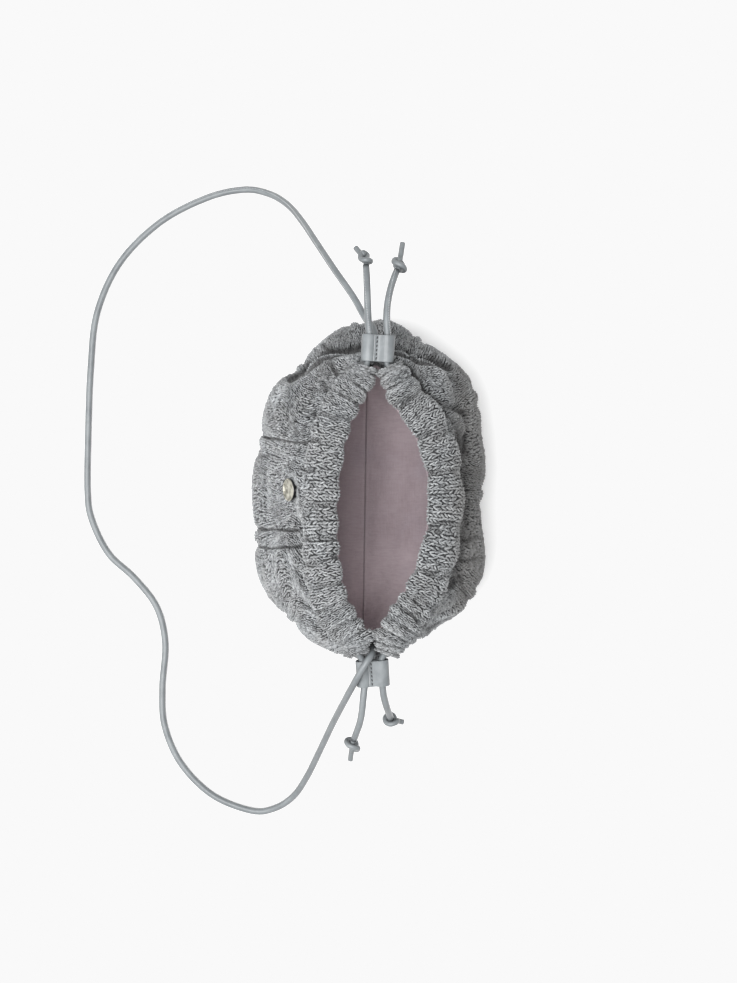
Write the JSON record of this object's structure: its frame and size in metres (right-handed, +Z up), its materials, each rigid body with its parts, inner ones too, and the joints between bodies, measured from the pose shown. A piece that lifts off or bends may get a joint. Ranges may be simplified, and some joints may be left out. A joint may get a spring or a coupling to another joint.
{
  "type": "drawstring pouch",
  "caption": "Slouched knitted drawstring pouch, standing open, with a cloth lining, gathered casings, leather cords in sliders and a round leather shoulder strap laid beside it.",
  "frame": {"origin": "middle of the flat base, on the surface that the pouch stands on", "axes": "+Z up out of the mouth; the front with the medallion faces -Y; the mouth's long axis runs along X, with the left end at -X as seen from the front"},
  "size_m": [0.5209, 0.329, 0.1669],
  "materials": {
    "knit": "heathered wool knit, matt",
    "lining_cloth": "plain woven cotton, matt",
    "leather": "smooth, semi-gloss",
    "dark_metal": "dark plated, polished",
    "pale_metal": "pale champagne plated, satin"
  },
  "bodies": {
    "root": {"knit_body": "knit", "lining": "lining_cloth", "front_casing": "knit", "back_casing": "knit", "slider_left": "leather", "slider_right": "leather", "front_drawcord": "leather", "back_drawcord": "leather", "stub_front_left": "leather", "stub_back_left": "leather", "stub_front_right": "leather", "stub_back_right": "leather", "knot_front_left": "leather", "knot_back_left": "leather", "knot_front_right": "leather", "knot_back_right": "leather", "strap": "leather", "strap_stop_left": "leather", "strap_stop_right": "leather", "eyelet_left": "dark_metal", "eyelet_right": "dark_metal", "medallion": "pale_metal"}
  },
  "joints": []
}
